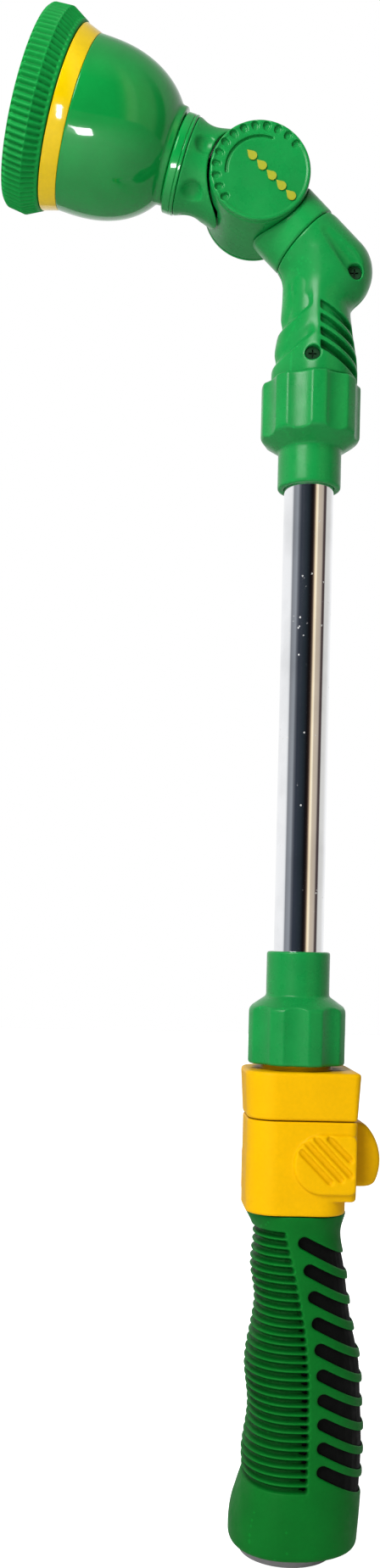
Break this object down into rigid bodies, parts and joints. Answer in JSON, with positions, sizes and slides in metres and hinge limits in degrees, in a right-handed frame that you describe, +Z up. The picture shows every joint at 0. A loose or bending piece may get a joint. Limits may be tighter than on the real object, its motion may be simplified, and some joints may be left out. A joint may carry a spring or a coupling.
{
  "type": "watering wand",
  "caption": "Hand-held hose wand with a thumb shut-off lever, ribbed grip, chromed tube, ratcheting bent neck and a turning multi-pattern spray head.",
  "frame": {"origin": "centre of the hose inlet's mouth, at the foot of the handle, on the tube's axis", "axes": "+Z up the chromed tube towards the head, +X towards the thumb lever, -X towards the side the head sprays to, -Y the side with the index disc"},
  "size_m": [0.1288, 0.061, 0.4927],
  "materials": {
    "grey_plastic": "satin moulded plastic",
    "rubber": "matt",
    "steel": "satin",
    "black_plastic": "satin moulded plastic",
    "soft_grip": "soft matt moulded rubber",
    "yellow_plastic": "satin moulded plastic",
    "yellow_gloss": "polished",
    "yellow_mark": "pad print",
    "white_plastic": "satin moulded plastic",
    "green_plastic": "semi-gloss moulded plastic",
    "green_collar": "polished",
    "green_gloss": "polished",
    "soft_green_ring": "matt",
    "face_plastic": "satin moulded plastic",
    "chromed_tube": "mirror polished"
  },
  "bodies": {
    "wand": {"hose_inlet": "grey_plastic", "hose_washer": "rubber", "filter_screen": "steel", "handle_core": "black_plastic", "grip_sleeve": "soft_grip", "valve_housing": "yellow_plastic", "valve_body": "black_plastic", "valve_cap": "yellow_plastic", "cap_o_ring": "rubber", "seat_plug": "white_plastic", "seat_pad": "rubber", "lower_nut": "green_plastic", "lower_washer": "rubber", "wand_tube": "chromed_tube", "upper_washer": "rubber", "upper_nut": "green_plastic", "elbow_duct": "black_plastic", "elbow_shell_front": "green_plastic", "elbow_shell_rear": "green_plastic", "elbow_screws": "steel", "knuckle": "green_plastic", "duct_o_ring": "rubber", "pivot_drum": "green_plastic", "pivot_screw": "steel", "pivot_nut": "steel", "pivot_cover_front": "green_plastic", "pivot_cover_rear": "green_plastic", "cover_mark": "yellow_mark", "detent_ball": "steel", "detent_spring": "steel"},
    "lever": {"thumb_lever": "yellow_plastic", "lever_shaft": "steel"},
    "spool": {"valve_spool": "white_plastic", "spool_o_rings": "rubber"},
    "head": {"pivot_rotor": "black_plastic", "rotor_o_rings": "rubber", "head_neck": "green_plastic", "neck_collar": "green_collar", "head_bowl": "green_gloss", "yellow_band": "yellow_gloss", "port_plate": "black_plastic", "port_seal": "rubber", "port_spring": "steel", "click_ball": "steel", "click_spring": "steel", "dial_screw": "steel"},
    "dial": {"spray_face": "face_plastic", "dial_ring": "soft_green_ring"}
  },
  "joints": [
    {"name": "thumb_lever_turn", "type": "hinge", "parent": "wand", "child": "lever", "pos_m": [0.0107, 0, 0.1265], "axis": [0, 1, 0], "range_deg": [0, 30]},
    {"name": "spool_slide", "type": "slide", "parent": "wand", "child": "spool", "axis": [0, 0, 1], "range_m": [0, 0.0024]},
    {"name": "head_tilt", "type": "hinge", "parent": "wand", "child": "head", "pos_m": [-0.0193, 0, 0.4391], "axis": [0, 1, 0], "range_deg": [-30, 75]},
    {"name": "dial_turn", "type": "hinge", "parent": "head", "child": "dial", "pos_m": [-0.08548, 0, 0.46202], "axis": [-0.9548, 0, 0.2974], "continuous": true}
  ],
  "couplings": [
    {"joint": "spool_slide", "follows": "thumb_lever_turn", "m_per_rad": 0.004251}
  ]
}
